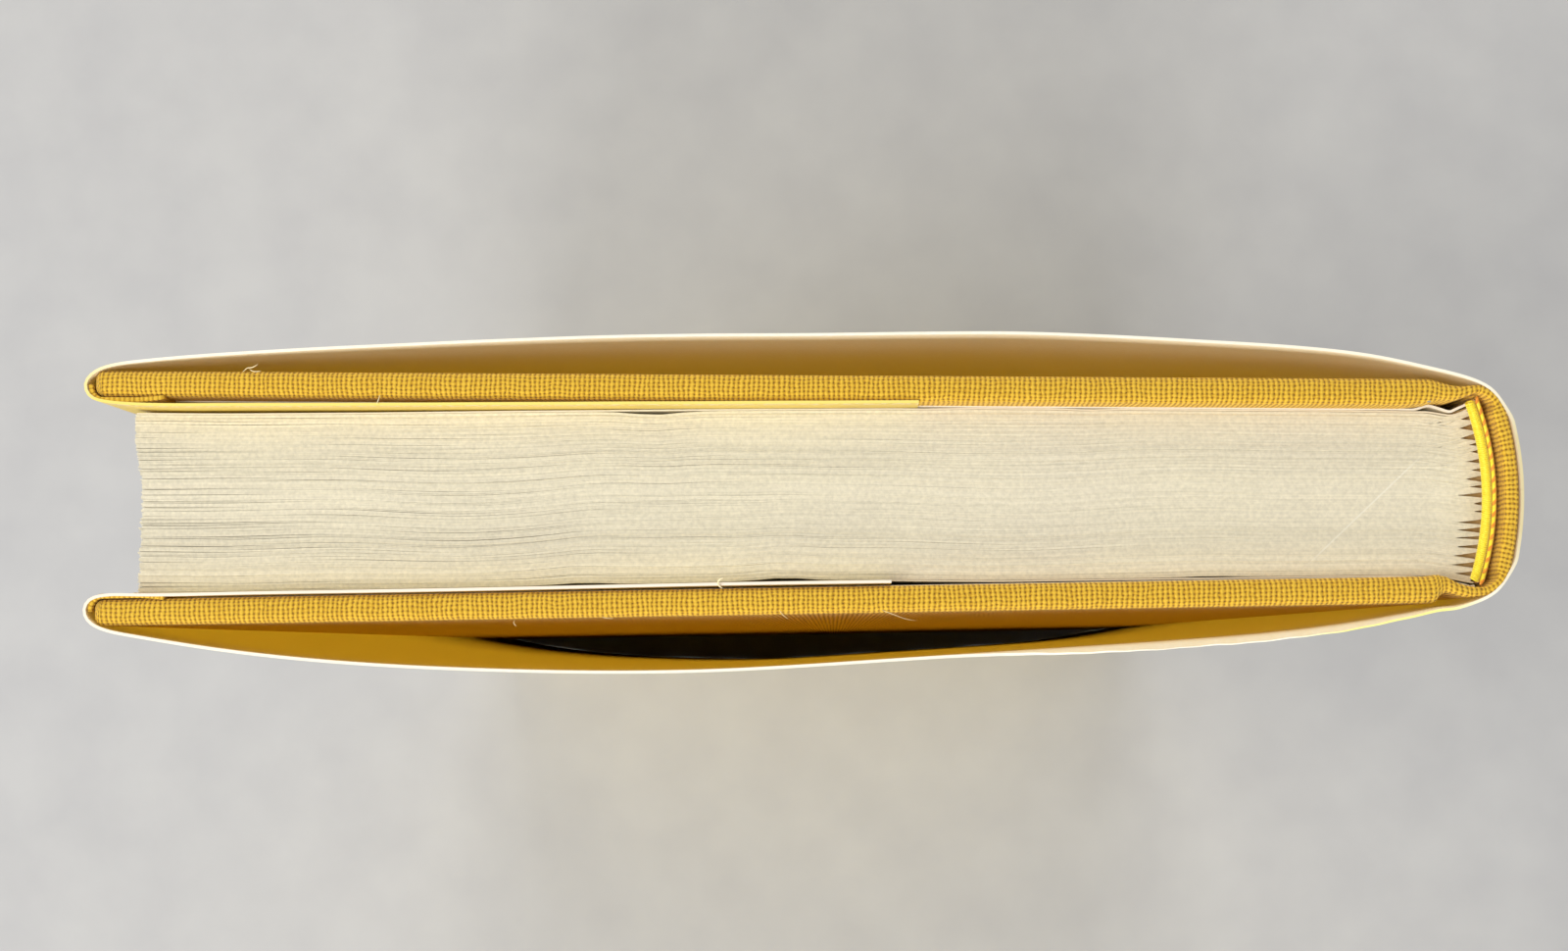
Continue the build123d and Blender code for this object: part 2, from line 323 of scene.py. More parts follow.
def surfaced(shader, colour, height, distance, strength):
    """Gives a shader its colour, and a relief from a height that is worth a distance in metres."""
    tree = shader.id_data
    tree.links.new(colour, shader.inputs["Base Color"])
    sockets = {"Height": height, "Distance": distance, "Strength": strength}
    tree.links.new(node(tree, "ShaderNodeBump", sockets).outputs[0], shader.inputs["Normal"])


page_finish, tree, shader = new_finish("page_paper", 0.85)
shader.inputs["Specular IOR Level"].default_value = 0.25
place = place_on(tree, "Object")
around, leaf_here = apart(place_on(tree, "UV"))[:2]
this_leaf = maths("FLOOR", leaf_here)
leaf_tone = node(tree, "ShaderNodeTexWhiteNoise", {"W": this_leaf}, noise_dimensions="1D").outputs[0]
streak_place = node(tree, "ShaderNodeCombineXYZ", {
    0: times(around, 0.035), 1: times(leaf_here, 0.55),
})
streak = speckle(streak_place.outputs[0], 1.0, 4.0)
grain = speckle(place, 2600.0)
shade = ranged(leaf_tone, 0, 1, 0.955, 1.02)
for pattern, low, high, dark, light in ((streak, 0.3, 0.7, 0.93, 1.04), (grain, 0.25, 0.75, 0.90, 1.09)):
    shade = times(shade, ranged(pattern, low, high, dark, light))
cloud = speckle(place, 55.0, 3.0)
paper_colour = mottled(cloud, tone(240, 233, 209), tone(237, 230, 208), 0.35, 0.65)
paper_colour = blended(1.0, paper_colour, shade, "MULTIPLY")
# Painted shade: the gaps between leaves are painted brown, more so the deeper they lie.
gap = node(tree, "ShaderNodeAttribute", attribute_name="gap").outputs["Fac"]
paper_colour = blended(times(gap, 0.75), paper_colour, tone(150, 128, 86))

# A pale scuff runs aslant over the cut head near the back.
scuff_start, scuff_slant, scuff_length = (-18.7, -7.7), math.atan2(12.0, 12.7), 0.0175
scuff = node(tree, "ShaderNodeMapping", {
    "Vector": place, "Location": in_frame((*scuff_start, head_z)), "Rotation": (0, 0, scuff_slant),
}, vector_type="TEXTURE")
scuff_along, scuff_across, scuff_up = apart(scuff.outputs[0])
scuff_line = ranged(maths("ABSOLUTE", scuff_across), 0.00003, 0.00012, 1, 0)
scuff_fade = maths("PINGPONG", ranged(scuff_along, 0, scuff_length, 0, 2), 1.0)
scuff_line = times(scuff_line, ranged(scuff_fade, 0, 0.35, 0, 0.55))
scuff_line = times(scuff_line, ranged(scuff_up, -0.001, -0.0005))
paper_colour = blended(scuff_line, paper_colour, tone(255, 252, 238))
ridge = maths("PINGPONG", leaf_here, 0.5)
surfaced(shader, paper_colour, maths("MULTIPLY_ADD", grain, 0.6, ridge), 0.00004, 0.5)
pages.data.materials.append(page_finish)
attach(pages, "book_block")
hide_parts("text_block")

# Endpapers: at each end of the pages a folded sheet of stiff off-white paper. One half lies free
# on the pages; the other is pasted to the board, where it sinks inside the turned-in cloth, and
# crosses the joint to the fold on the shoulder, loose enough to let the cover swing.
covers = ("front", 1), ("back", -1)
endpaper, joint_paper, flyleaf_gap = 0.16, 0.26, 0.03
case_height, cloth_turn_in = 222.3, 15.0
cover_lean, hinge_line = math.radians(0.7894), np.array((-1.8, 11.67))
paste_y, paste_dip, dip_edge, lean_ease = 8.51, 0.28, 0.6, 0.6
board_back_edge, board_fore_edge = -6.4, -142.7
joint_bends = {
    1: (
        (-7.2, 8.7), (-6.5, 8.79), (-5.73, 8.95), (-5.2, 8.84), (-4.4, 8.58), (-3.8, 8.38), (-3.53, 8.34),
        (-3.2, 8.45), (-2.6, 8.73), (-2.0, 9.0), (-1.2, 9.36), (-0.8, 9.5),
    ),
    -1: ((-7.2, 8.6), (-6.2, 8.64), (-5.0, 8.85), (-3.6, 9.2), (-2.3, 9.5), (-1.75, 9.58), (-1.5, 9.5)),
}


def walked(line):
    """How far along a line each of its points lies."""
    return np.append(0, np.cumsum(np.linalg.norm(np.diff(line, axis=0), axis=1)))


def unit(vectors):
    """The directions of some vectors, each of length one."""
    return vectors / np.linalg.norm(vectors, axis=-1, keepdims=True)


def smooth_line(points, count):
    """Points evenly spaced along a natural cubic spline through the given points."""
    points = np.asarray(points, float)
    knots = walked(points)
    step = np.diff(knots)
    slope = np.diff(points, axis=0) / step[:, None]
    size = len(points)
    system, right = np.eye(size), np.zeros_like(points)
    for i in range(1, size - 1):
        system[i, i - 1 : i + 2] = step[i - 1], 2 * (step[i - 1] + step[i]), step[i]
        right[i] = 6 * (slope[i] - slope[i - 1])
    bend = np.linalg.solve(system, right)
    fine = np.linspace(0, knots[-1], 40 * size)
    part = np.clip(np.searchsorted(knots, fine, "right") - 1, 0, size - 2)
    past, span = (fine - knots[part])[:, None], step[part][:, None]
    low, high = bend[part], bend[part + 1]
    line = points[part] + past * (slope[part] - span * (2 * low + high) / 6)
    line += past**2 * low / 2 + past**3 * (high - low) / (6 * span)
    way = walked(line)
    wanted = np.linspace(0, way[-1], count)
    return np.column_stack([np.interp(wanted, way, line[:, i]) for i in range(line.shape[1])])


def stood_up(line, levels):
    """A grid of points, with a flat line repeated at each level."""
    return side_by_side(line[:, :1], line[:, 1:], levels[None, :])


def lifted(points):
    """Points of a cover drawn flat on the pages, at the small angle the cover rests at."""
    turn = cover_lean * np.clip((-shoulder_set_back - points[..., 0]) / lean_ease, 0, 1)
    x, y = points[..., 0] - hinge_line[0], points[..., 1] - hinge_line[1]
    moved = points.copy()
    moved[..., 0] = hinge_line[0] + x * np.cos(turn) + y * np.sin(turn)
    moved[..., 1] = hinge_line[1] - x * np.sin(turn) + y * np.cos(turn)
    return moved


def bend_with(piece):
    """Keeps a piece where it stands, with its place moved into its mesh."""
    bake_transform(piece)


def new_sheet(name, middle, thickness, finishes):
    """A closed thin sheet round a grid of points, with finishes for its two sides and its rim."""
    rows, columns = middle.shape[:2]
    normal = unit(np.cross(np.gradient(middle, axis=0), np.gradient(middle, axis=1))) * thickness / 2
    points = np.concatenate(((middle + normal).reshape(-1, 3), (middle - normal).reshape(-1, 3)))
    length = walked(middle[:, 0])[:, None]
    uv = side_by_side(length, middle[..., 2]).reshape(-1, 2)
    one_side = grid_faces(rows, columns)
    other_side = grid_faces(rows, columns, rows * columns)[:, ::-1]
    near = np.arange(rows * columns).reshape(rows, columns)
    far = near + rows * columns
    edges = (
        (np.s_[:-1, 0], np.s_[1:, 0]), (np.s_[1:, -1], np.s_[:-1, -1]),
        (np.s_[0, 1:], np.s_[0, :-1]), (np.s_[-1, :-1], np.s_[-1, 1:]),
    )
    rim = np.concatenate([np.stack((near[a], far[a], far[b], near[b]), axis=-1) for a, b in edges])
    faces = np.concatenate((one_side, other_side, rim))
    piece = new_piece(name, points, faces.tolist(), np.concatenate((uv, uv)))
    for finish in finishes:
        piece.data.materials.append(finish)
    kind = np.repeat((0, 1, 2), (len(one_side), len(other_side), len(rim)))
    piece.data.polygons.foreach_set("material_index", np.minimum(kind, len(finishes) - 1))
    piece.data.set_sharp_from_angle(angle=math.radians(50))
    return piece


def toothed_finish(name, roughness, scale, detail, a, b, relief, strength=0.6, low=0.3):
    """A finish in two close tones with a fine tooth, as cut paper, glue, thread and board have."""
    finish, tree, shader = new_finish(name, roughness)
    tooth = speckle(place_on(tree, "Object"), scale, detail)
    surfaced(shader, mottled(tooth, a, b, low), tooth, relief, strength)
    return finish


endpaper_finish, tree, shader = new_finish("endpaper_stock", 0.8)
place = place_on(tree, "Object")
fibre, mottle = speckle(place, 900.0, 5.0), speckle(place, 40.0, 3.0)
stock = mottled(fibre, tone(240, 232, 212), tone(248, 241, 224), 0.35, 0.65)
stock = blended(ranged(mottle, 0.4, 0.7, 0, 0.35), stock, tone(236, 224, 196))
surfaced(shader, stock, fibre, 0.00003, 0.6)
# The cut edges of the endpapers are painted whiter than the sheet: a painted highlight along the rim.
edge_highlight_finish = toothed_finish(
    "endpaper_edge_highlight", 0.8, 1500.0, 4.0, tone(252, 247, 234), tone(255, 253, 246), 0.00003,
)

leaf_levels = np.linspace(tail_z, head_z, 25)
window_x = board_fore_edge + cloth_turn_in
window_top = case_height - cloth_turn_in
paste_x = np.concatenate((
    np.linspace(-leaf_width, window_x - 0.6, 8), window_x + np.linspace(-0.4, 0.8, 7),
    np.linspace(window_x + 2, board_back_edge - 1.2, 60),
))
paste_z = np.concatenate((
    np.linspace(tail_z, cloth_turn_in - 0.6, 6), cloth_turn_in + np.linspace(-0.4, 0.8, 7),
    np.linspace(cloth_turn_in + 3, window_top - 3, 24),
    window_top + np.linspace(-0.8, 0.4, 7), np.linspace(window_top + 0.6, head_z, 6),
))
for cover, side in covers:
    # The free half, lying on the pages with a slight wave in it.
    free_x = np.concatenate((np.linspace(-leaf_width - 0.1, -9, 120), np.linspace(-8.7, -1.6, 36)))
    free_y = page_side(free_x, side, hollows=False) + flyleaf_gap + endpaper / 2
    free_half = stood_up(np.column_stack((free_x, side * free_y))[::-side], leaf_levels)
    flyleaf = new_sheet(f"{cover}_free_endpaper", free_half, endpaper, [endpaper_finish])
    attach(flyleaf, "book_block")
    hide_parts("front_flyleaf" if side > 0 else "rear_flyleaf")

    # The pasted half, dished inside the turned-in cloth, and the strip over the joint.
    in_x = np.clip((paste_x - window_x) / dip_edge, 0, 1)
    in_z = np.clip((np.minimum(paste_z, case_height - paste_z) - cloth_turn_in) / dip_edge, 0, 1)
    dish = paste_dip * (in_x**2 * (3 - 2 * in_x))[:, None] * (in_z**2 * (3 - 2 * in_z))
    pasted = lifted(side_by_side(paste_x[:, None], paste_y + dish, paste_z[None, :]))
    joint_strip = smooth_line(joint_bends[side], 40)
    sink = np.clip((joint_strip[:, :1] + 7.2) / 0.8, 0, 1)
    strip_y = joint_strip[:, 1:] * sink + pasted[-1, :, 1][None, :] * (1 - sink)
    strip = side_by_side(joint_strip[:, :1], strip_y, paste_z[None, :])
    pasted = np.concatenate((pasted, strip))
    pasted[..., 1] *= side
    paper_here = endpaper + (joint_paper - endpaper) * np.clip((pasted[:, :1, :1] + 8) / 1.5, 0, 1)
    finishes = [endpaper_finish, endpaper_finish, edge_highlight_finish]
    pastedown = new_sheet(f"{cover}_pasted_endpaper", pasted[::-side], paper_here[::-side], finishes)
    bend_with(pastedown)
    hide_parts(f"{cover}_pastedown")

# Glue and lining: glue is worked into the clefts of the rounded back, and a strip of thin kraft
# paper is laid over it along the folds, between the two bands.
glue_thick, glue_in, glue_share = 2.4, 1.3, 0.96
lining_finish = toothed_finish(
    "kraft_lining", 0.8, 420.0, 6.0, tone(170, 132, 88), tone(196, 160, 112), 0.00004,
)
glue_finish = toothed_finish("dry_glue", 0.6, 1100.0, 4.0, tone(176, 140, 86), tone(206, 176, 122), 0.0001)


def back_arc(radius, swing):
    """Points of an arc round the centre that the back of the pages is rounded about."""
    return np.column_stack((radius * np.cos(swing) - back_radius, radius * np.sin(swing)))


glue_swing = np.linspace(glue_share * back_angle, -glue_share * back_angle, 40)
glue_levels = np.linspace(tail_z + 0.8, head_z - 0.8, 12)
glue_grid = stood_up(back_arc(back_radius - glue_in, glue_swing), glue_levels)
glue = new_sheet("back_glue", glue_grid, glue_thick, [glue_finish])
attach(glue, "book_block")

# Bands: at head and tail a cord wrapped in bright yellow thread, with a row of orange chain
# stitches behind it, sewn to a tape that is glued round the back of the pages.
band_sizes = {
    "Radius": 28.46, "Swing": math.radians(18.3), "Height": 221.05, "Cord": 0.39, "Thread": 0.1,
    "Pitch": 0.21, "Slant": math.radians(22), "Chain pitch": 1.12, "Chain": 0.2, "Chain offset": 0.74,
    "Chain lift": 0.09,
}
tape_thick, tape_out, tape_length = 0.21, 0.125, 11.0


def thread_finish(name, bright, deep):
    finish = toothed_finish(name, 0.45, 3200.0, 2.0, bright, deep, 0.00003, 0.7, 0.35)
    finish.node_tree.nodes["Principled BSDF"].inputs["Sheen Weight"].default_value = 0.3
    return finish


yellow_thread = thread_finish("yellow_thread", tone(255, 240, 58), tone(255, 226, 34))
orange_thread = thread_finish("orange_thread", tone(247, 168, 50), tone(232, 142, 30))
tape_finish = thread_finish("band_tape", tone(226, 176, 60), tone(196, 142, 40))

band_tree = bpy.data.node_groups.new("wrapped_band", "GeometryNodeTree")
band_tree.interface.new_socket("Geometry", in_out="OUTPUT", socket_type="NodeSocketGeometry")
band_inputs = {}
for title, size in band_sizes.items():
    socket = band_tree.interface.new_socket(title, in_out="INPUT", socket_type="NodeSocketFloat")
    band_inputs[socket.identifier] = size
given = band_tree.nodes.new("NodeGroupInput").outputs


def hoop(radius, resolution):
    sockets = {"Resolution": resolution, "Radius": radius}
    return node(band_tree, "GeometryNodeCurvePrimitiveCircle", sockets).outputs[0]


def drawn_along(curve, profile, capped):
    sockets = {"Curve": curve, "Profile Curve": profile, "Fill Caps": capped}
    return node(band_tree, "GeometryNodeCurveToMesh", sockets).outputs[0]


def band_arc(radius):
    """The arc that a cord or a row of stitches follows round the back of the pages."""
    sockets = {
        "Resolution": 96, "Radius": radius, "Sweep Angle": times(given["Swing"], 2.0),
        "Start Angle": times(given["Swing"], -1.0),
    }
    return node(band_tree, "GeometryNodeCurveArc", sockets, mode="RADIUS").outputs["Curve"]


def strung(curve, pitch, shape):
    """Copies of a shape along a curve, each facing along it."""
    dots = node(band_tree, "GeometryNodeCurveToPoints", {"Curve": curve, "Length": pitch}, mode="LENGTH")
    along_curve = {"Vector": dots.outputs["Tangent"]}
    facing = node(band_tree, "FunctionNodeAlignRotationToVector", along_curve, axis="Z").outputs[0]
    sockets = {"Points": dots.outputs["Points"], "Instance": shape, "Rotation": facing}
    return node(band_tree, "GeometryNodeInstanceOnPoints", sockets).outputs[0]


def transformed(shape, how, by):
    """A shape turned, shifted or stretched by the values or links given for its three directions."""
    amount = node(band_tree, "ShaderNodeCombineXYZ", by).outputs[0]
    return node(band_tree, "GeometryNodeTransform", {"Geometry": shape, how: amount}).outputs[0]


cord_arc = band_arc(given["Radius"])
cord = drawn_along(cord_arc, hoop(given["Cord"], 16), True)
wrap = drawn_along(hoop(given["Cord"], 14), hoop(given["Thread"], 6), False)
wrap = transformed(wrap, "Rotation", {0: given["Slant"]})
wraps = strung(cord_arc, given["Pitch"], wrap)
chain_arc = band_arc(maths("ADD", given["Radius"], given["Chain offset"]))
chain_cord = drawn_along(chain_arc, hoop(given["Chain"], 10), True)
bead = {"Segments": 8, "Rings": 6, "Radius": given["Chain"]}
stitch = node(band_tree, "GeometryNodeMeshUVSphere", bead).outputs["Mesh"]
stitch = transformed(stitch, "Scale", {0: 0.85, 1: 0.85, 2: 2.2})
stitch = transformed(stitch, "Rotation", {1: times(given["Slant"], 0.8)})
stitches = strung(chain_arc, given["Chain pitch"], stitch)
stitches = transformed(stitches, "Translation", {2: given["Chain lift"]})
joined = band_tree.nodes.new("GeometryNodeJoinGeometry")
for part in (cord, wraps, chain_cord, stitches):
    placed = transformed(part, "Translation", {0: -back_radius, 2: given["Height"]})
    whole = node(band_tree, "GeometryNodeRealizeInstances", {"Geometry": placed}).outputs[0]
    sockets = {"Geometry": whole, "Material": orange_thread if part == stitches else yellow_thread}
    coloured = node(band_tree, "GeometryNodeSetMaterial", sockets)
    band_tree.links.new(coloured.outputs[0], joined.inputs[0])
band_out = band_tree.nodes.new("NodeGroupOutput")
band_tree.links.new(joined.outputs[0], band_out.inputs[0])


def plain_mesh(piece):
    """A copy of a piece's mesh as its modifiers leave it."""
    return bpy.data.meshes.new_from_object(piece.evaluated_get(bpy.context.evaluated_depsgraph_get()))


def grown(name, tree_group, inputs):
    """The mesh that a Geometry Nodes tree makes, in millimetres, as a plain mesh."""
    seed = in_scene(name, bpy.data.meshes.new(name))
    work = seed.modifiers.new("make", "NODES")
    work.node_group = tree_group
    for identifier, value in inputs.items():
        work[identifier] = value
    made = plain_mesh(seed)
    bpy.data.objects.remove(seed)
    return made


for end in ("head", "tail"):
    swing = np.linspace(band_sizes["Swing"], -band_sizes["Swing"], 60)
    tape_levels = np.linspace(head_z - tape_length, band_sizes["Height"] - 0.1, 14)
    tape_grid = stood_up(back_arc(back_radius + tape_out, swing), tape_levels)
    band = new_sheet(f"{end}_wrapped_band", tape_grid, tape_thick, [tape_finish])

    # The wrapped cord and its stitches join the tape, with their threads after the tape's finish.
    threads = grown(f"{end}_band_work", band_tree, band_inputs)
    places = np.empty(3 * len(threads.vertices))
    threads.vertices.foreach_get("co", places)
    threads.vertices.foreach_set("co", in_frame(places.reshape(-1, 3)).ravel())
    work = bmesh.new()
    work.from_mesh(band.data)
    tape_faces = len(work.faces)
    work.from_mesh(threads)
    work.faces.ensure_lookup_table()
    for face in work.faces[tape_faces:]:
        face.material_index += 1
        face.smooth = True
    for finish in threads.materials:
        band.data.materials.append(finish)
    if end == "tail":
        for corner in work.verts:
            corner.co.z = case_height / 1000 - corner.co.z
        bmesh.ops.reverse_faces(work, faces=work.faces)
    work.to_mesh(band.data)
    work.free()
    bpy.data.meshes.remove(threads)
    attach(band, "book_block")
    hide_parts(f"{end}_band")

# Boards and back strip: two sheets of grey millboard and a strip of thin card, cut with a knife
# and rounded a little at the edges, all glued inside the cloth.
board_finish = toothed_finish(
    "grey_millboard", 0.9, 650.0, 6.0, tone(140, 132, 120), tone(172, 164, 150), 0.00005, 0.7,
)
plain_nodes = {
    "front_board": board_finish, "back_board": board_finish, "spine_inlay": board_finish,
    "spine_lining": lining_finish,
}
for carried in bpy.data.objects:
    finish = plain_nodes.get(carried.get("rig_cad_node"))
    if finish:
        carried.data.materials.clear()
        carried.data.materials.append(finish)

# Cloth: one piece of yellow plain-woven book cloth, glued over both boards and the back strip,
# pressed into the joints and turned in over all four edges, with mitred corners. It is made here
# as a front and a back half that meet along the middle of the back.
cloth, cloth_out, board_and_cloth, edge_round = 0.22, 11.28, 2.71, 0.95
back_out, inlay_angle = 31.281, math.radians(14.74)
crest_x, crest_y, crest_thick, back_thick, back_round = -1.0, 10.6, 0.8, 1.36, 0.42
mitre_reach = 60
fore_reach = {1: -143.05, -1: -142.65}
joint_dip = {
    1: ((-1.5, crest_y), (-2.3, 10.58), (-3.3, 10.52), (-4.5, 10.7), (-5.6, 11.06), (-6.4, 11.25)),
    -1: (
        (-1.5, crest_y), (-2.4, 10.72), (-3.4, 10.74), (-4.6, 10.42), (-5.5, 10.3), (-6.1, 10.78),
        (-6.4, 11.15),
    ),
}
# How deep the turned edge is over each joint, by the distance in front of the back.
joint_thick = {
    1: (
        (1.0, crest_thick), (2.1, 0.8), (3.0, 1.1), (4.1, 1.5), (5.2, 1.85), (5.9, 2.15), (6.4, 2.46),
        (8.5, board_and_cloth),
    ),
    -1: ((1.0, crest_thick), (2.1, 0.95), (3.4, 1.2), (4.5, 1.35), (5.6, 1.75), (6.4, board_and_cloth)),
}
warp_gauge, weft_gauge = 0.51, 0.43


def tangent_arc(start, heading, end, count):
    """Points along the arc that leaves start in a direction and arrives at end."""
    start, end = np.array(start, float), np.array(end, float)
    chord = end - start
    turn = math.atan2(chord[1], chord[0]) - heading
    turn = (turn + math.pi) % (2 * math.pi) - math.pi
    radius = np.linalg.norm(chord) / (2 * math.sin(turn))
    centre = start + radius * np.array((-math.sin(heading), math.cos(heading)))
    angle = heading - math.pi / 2 + np.linspace(0, 2 * turn, count)
    return centre + radius * np.column_stack((np.cos(angle), np.sin(angle)))


def turned_edge(share, thick, radius):
    """How far out, how deep and how far along the cloth is, part of the way round an edge."""
    bend, flat = math.pi * radius / 2, thick - 2 * radius
    walk = share * (2 * bend + flat)
    first = np.clip(walk, 0, bend) / radius
    last = np.clip(walk - bend - flat, 0, bend) / radius
    out = radius * np.sin(first) - radius * (1 - np.cos(last))
    deep = radius * (1 - np.cos(first)) + np.clip(walk - bend, 0, flat) + radius * np.sin(last)
    return out, deep, walk


def case_outline(side):
    """The outside of the cloth from the middle of the back to the fore-edge, and how deep its edge is."""
    back = back_arc(back_out, np.linspace(0, inlay_angle, 22))
    bend = tangent_arc(back[-1], inlay_angle + math.pi / 2, joint_dip[side][0], 16)[1:]
    dip = smooth_line(joint_dip[side], 30)[1:]
    edge_x = fore_reach[side] + edge_round
    board = np.column_stack((np.linspace(board_back_edge - 0.3, edge_x, 130), np.full(130, cloth_out)))
    line = np.concatenate((back, bend, dip, board))
    walk = walked(line)
    way = np.gradient(line, axis=0)
    normal = unit(np.column_stack((way[:, 1], -way[:, 0])))
    upright = np.clip((-2.4 - line[:, :1]) / 1.6, 0, 1)
    normal = unit(normal * (1 - upright) + np.array((0, 1)) * upright)
    past_inlay = walk - walk[len(back) - 1]
    at_back = np.interp(past_inlay, (0.3, 1.5), (back_thick, crest_thick))
    at_joint = np.interp(-line[:, 0], *np.transpose(joint_thick[side]))
    return edge_x, line, normal, walk, np.where(line[:, 0] > crest_x, at_back, at_joint)


def woven_case(side):
    """The points, faces and UV of the cloth over one cover and half of the back."""
    points, faces, uvs = [], [], []
    edge_x, case_line, case_normal, case_walk, case_thick = case_outline(side)

    def add_grid(grid, u, v, turned=False):
        part = grid_faces(*grid.shape[:2], sum(len(earlier) for earlier in points))
        faces.extend((part[:, ::-1] if turned else part).tolist())
        points.append(grid.reshape(-1, 3))
        uvs.append(side_by_side(u, v).reshape(-1, 2))

    # Back, joint and board, with the cloth turned in at tail and head.
    bend_share = np.linspace(0, 1, 15)
    bow = np.where(case_line[:, 0] > crest_x, back_round, edge_round)
    thick, bow = case_thick[:, None], np.minimum(bow, case_thick / 2 - 0.01)[:, None]
    out, deep, walk = turned_edge(bend_share[None, :], thick, bow)
    span = case_height - 2 * bow
    face = np.linspace(0, 1, 60)[None, 1:-1] * span
    tucked = np.linspace(1, 0, 6)[None, :-1] * (cloth_turn_in - bow)
    inwards = tucked[:, ::-1]
    full = np.broadcast_to(thick, tucked.shape)
    top = case_height - bow
    z = np.hstack((bow + tucked, bow - out[:, ::-1], bow + face, top + out, top - inwards))
    depth = np.hstack((full, deep[:, ::-1], 0 * face, deep, full))
    past_edge = np.hstack((tucked, 0 * walk, 0 * face, 0 * walk, inwards))
    bent = walk[:, -1:]
    v = np.hstack((-bent - tucked, -walk[:, ::-1], face, span + walk, span + bent + inwards))
    grid = np.dstack((case_line[:, None, :] - case_normal[:, None, :] * depth[..., None], z))
    grid[..., 0] += past_edge * np.clip(1 - (case_line[:, :1] - edge_x) / mitre_reach, 0, 1)
    add_grid(grid, case_walk[:, None], v)

    # Fore-edge, and its turn-in with mitred ends.
    out, deep, walk = turned_edge(bend_share, board_and_cloth, edge_round)
    tucked = np.linspace(0, cloth_turn_in - edge_round, 7)[1:]
    x = np.append(edge_x - out, edge_x + tucked)[:, None]
    y = cloth_out - np.append(deep, np.full(len(tucked), board_and_cloth))[:, None]
    inset = edge_round + np.append(0 * walk, 1.01 * tucked)[:, None]
    z = inset + np.linspace(0, 1, 60) * (case_height - 2 * inset)
    u = case_walk[-1] + np.append(walk, walk[-1] + tucked)[:, None]
    add_grid(side_by_side(x, y, z), u, z - edge_round)

    # Rounded corners at head and tail.
    for end in (1, -1):
        swing = np.linspace(0, math.pi / 2, 9)[:, None]
        x = edge_x - out * np.sin(swing)
        z = case_height / 2 + end * (case_height / 2 - edge_round + out * np.cos(swing))
        v = walk * np.cos(swing)
        v = case_height - 2 * edge_round + v if end > 0 else -v
        u = case_walk[-1] + walk * np.sin(swing)
        add_grid(side_by_side(x, cloth_out - deep, z), u, v, turned=end < 0)

    points = lifted(np.concatenate(points))
    points[:, 1] *= side
    return points, [face[::side] for face in faces], np.concatenate(uvs)


def thickened(piece, thickness):
    """Merges the seams of a skin, gives it its thickness inwards, and keeps the result as its mesh."""
    work = bmesh.new()
    work.from_mesh(piece.data)
    bmesh.ops.remove_doubles(work, verts=work.verts, dist=1e-6)
    work.to_mesh(piece.data)
    work.free()
    wall = piece.modifiers.new("wall", "SOLIDIFY")
    wall.thickness, wall.offset = thickness / 1000, -1
    made = plain_mesh(piece)
    piece.modifiers.clear()
    old, piece.data = piece.data, made
    bpy.data.meshes.remove(old)
    made.set_sharp_from_angle(angle=math.radians(60))


def strayed(place, uv, scale, detail, reach):
    """A place pushed about at random, as the threads of a loose weave wander."""
    tree = uv.id_data
    pattern = node(tree, "ShaderNodeTexNoise", {"Vector": uv, "Scale": scale, "Detail": detail})
    sockets = {0: pattern.outputs["Color"], 1: [reach] * 3, 2: [-reach / 2] * 3}
    push = node(tree, "ShaderNodeVectorMath", sockets, operation="MULTIPLY_ADD").outputs[0]
    return node(tree, "ShaderNodeVectorMath", {0: place, 1: push}, operation="ADD").outputs[0]


cloth_finish, tree, shader = new_finish("yellow_book_cloth", 0.75)
shader.inputs["Sheen Weight"].default_value = 0.15
shader.inputs["Specular IOR Level"].default_value = 0.3
uv = place_on(tree, "UV")
weave_place = strayed(strayed(uv, uv, 0.35, 3.0, 0.55), uv, 1.3, 2.0, 0.22)
waves, heights, counts = [], [], []
for place, gauge in zip(apart(weave_place), (warp_gauge, weft_gauge)):
    wave = maths("SINE", times(place, math.pi / gauge))
    waves.append(wave)
    heights.append(maths("POWER", maths("ABSOLUTE", wave), 0.7))
    counts.append(maths("FLOOR", maths("DIVIDE", place, gauge)))
warp, weft = heights
on_top = ranged(times(*waves), -0.2, 0.2)
warp_over = times(warp, maths("MULTIPLY_ADD", weft, 0.3, 0.7))
weft_over = times(weft, maths("MULTIPLY_ADD", warp, 0.3, 0.55))
weave = node(tree, "ShaderNodeMix", {0: on_top, 2: weft_over, 3: warp_over}).outputs[0]
for thread, share in ((warp, 0.8), (weft, 0.64)):
    weave = maths("MAXIMUM", weave, times(thread, share))
which = node(tree, "ShaderNodeCombineXYZ", {0: counts[0], 1: times(on_top, counts[1])})
slub = node(tree, "ShaderNodeTexWhiteNoise", {"Vector": which.outputs[0]}, noise_dimensions="2D").outputs[0]
weave = maths("MULTIPLY_ADD", speckle(uv, 9.0, 3.0), 0.18, weave)
weave = maths("MULTIPLY_ADD", slub, 0.12, weave)
# The weave's height picks the cloth's colour. This is partly the threads' own tone and slubs, and partly
# painted shade in the hollows between the threads and a painted highlight on their crests.
weave_shade_ramp = node(tree, "ShaderNodeValToRGB", {0: weave})
stops = weave_shade_ramp.color_ramp.elements
stops[0].position, stops[0].color = 0.34, tone(120, 76, 4)
stops[1].position, stops[1].color = 0.9545, tone(236, 192, 58)
for position, colour in ((0.55, tone(188, 138, 24)), (0.78, tone(211, 162, 32))):
    stops.new(position).color = colour
surfaced(shader, weave_shade_ramp.outputs[0], weave, 0.00022, 0.8)

for cover, side in covers:
    points, faces, uv = woven_case(side)
    half = new_piece(f"{cover}_case_cloth", points, faces, uv)
    half.data.materials.append(cloth_finish)
    thickened(half, cloth)
    bend_with(half)
    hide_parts(f"{cover}_cloth", *(["spine_cloth"] if side > 0 else []))

